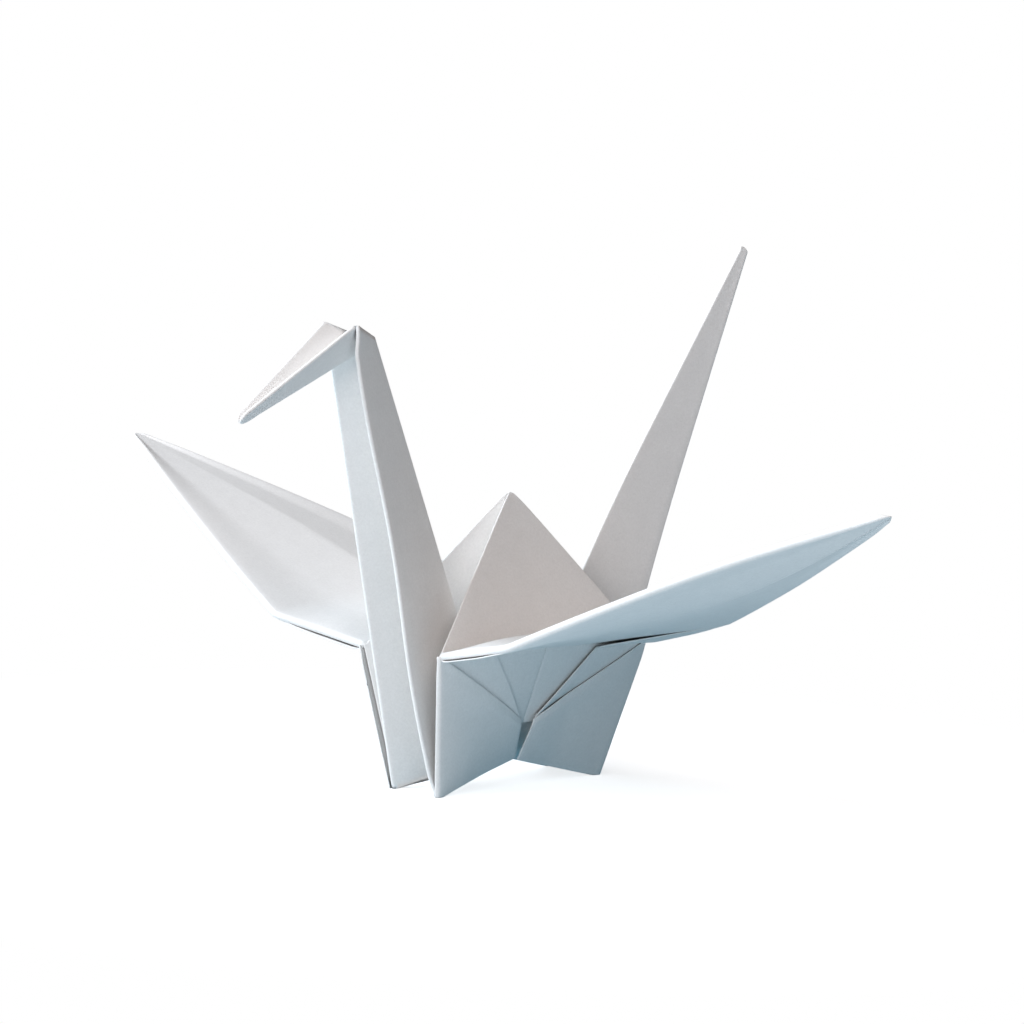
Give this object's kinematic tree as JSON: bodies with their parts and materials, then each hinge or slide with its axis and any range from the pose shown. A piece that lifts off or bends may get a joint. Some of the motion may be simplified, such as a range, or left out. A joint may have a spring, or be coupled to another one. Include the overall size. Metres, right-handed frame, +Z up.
{
  "type": "origami crane",
  "caption": "Crane folded from a square sheet of plain white paper, with raised wings, a bent head and a pointed tail, standing on its folded legs.",
  "frame": {"origin": "on the ground below the crown of the body, midway between the two sides", "axes": "-X towards the head, +X towards the tail, Y across the wings, +Z up"},
  "size_m": [0.0878, 0.1253, 0.0659],
  "materials": {
    "paper": "uncoated white sheet, matt, hand folded with pressed creases"
  },
  "bodies": {
    "root": {"folded_crane": "paper"}
  },
  "joints": []
}
